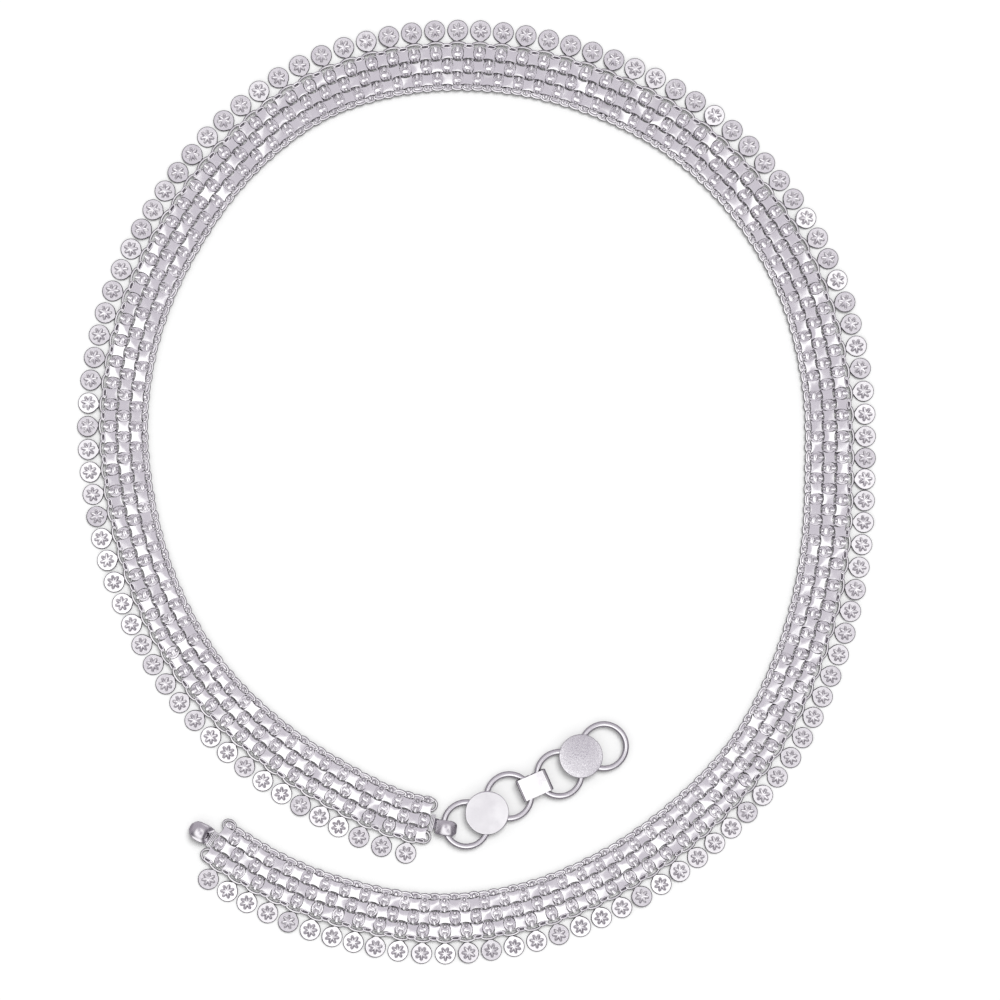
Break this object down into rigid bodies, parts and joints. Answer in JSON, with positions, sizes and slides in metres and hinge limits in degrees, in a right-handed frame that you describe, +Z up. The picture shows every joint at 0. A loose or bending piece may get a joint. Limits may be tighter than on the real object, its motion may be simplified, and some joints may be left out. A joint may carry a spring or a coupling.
{
  "type": "waist belt",
  "caption": "Open waist belt of flat woven silver mesh, fringed with small stamped discs, with a strip hook at one end and an extender of rings and plates at the other.",
  "frame": {"origin": "centre of the belt's plan box, on the plane that its underside rests on", "axes": "+Z up from that plane, +Y towards the closed far side of the loop, +X to the right, with the two ends at -Y"},
  "size_m": [0.2396, 0.2834, 0.0039],
  "materials": {
    "silver_mesh": "bright silver, polished on the plates, darker between the links",
    "silver_discs": "bright stamped silver",
    "silver_wire": "polished silver wire and strip",
    "silver_polished": "polished flat silver with fine scratches",
    "silver_frosted": "frosted matt silver"
  },
  "bodies": {
    "root": {"mesh_band": "silver_mesh", "disc_fringe_01": "silver_discs", "disc_fringe_02": "silver_discs", "disc_fringe_03": "silver_discs", "disc_fringe_04": "silver_discs", "disc_fringe_05": "silver_discs", "disc_fringe_06": "silver_discs", "disc_fringe_07": "silver_discs", "disc_fringe_08": "silver_discs", "disc_fringe_09": "silver_discs", "disc_fringe_10": "silver_discs", "disc_fringe_11": "silver_discs", "disc_fringe_12": "silver_discs", "disc_fringe_13": "silver_discs", "disc_fringe_14": "silver_discs", "disc_fringe_15": "silver_discs", "disc_fringe_16": "silver_discs", "disc_fringe_17": "silver_discs", "disc_fringe_18": "silver_discs", "disc_fringe_19": "silver_discs", "disc_fringe_20": "silver_discs", "disc_fringe_21": "silver_discs", "disc_fringe_22": "silver_discs", "disc_fringe_23": "silver_discs", "disc_fringe_24": "silver_discs", "disc_fringe_25": "silver_discs", "disc_fringe_26": "silver_discs", "disc_fringe_27": "silver_discs", "disc_fringe_28": "silver_discs", "disc_fringe_29": "silver_discs", "disc_fringe_30": "silver_discs", "disc_fringe_31": "silver_discs", "ring_1": "silver_wire", "ring_2": "silver_wire", "ring_3": "silver_wire", "ring_4": "silver_wire", "disc_plate_1": "silver_polished", "disc_plate_2": "silver_frosted", "link_plate": "silver_polished", "hook_free": "silver_wire", "hook_closed": "silver_wire"}
  },
  "joints": []
}
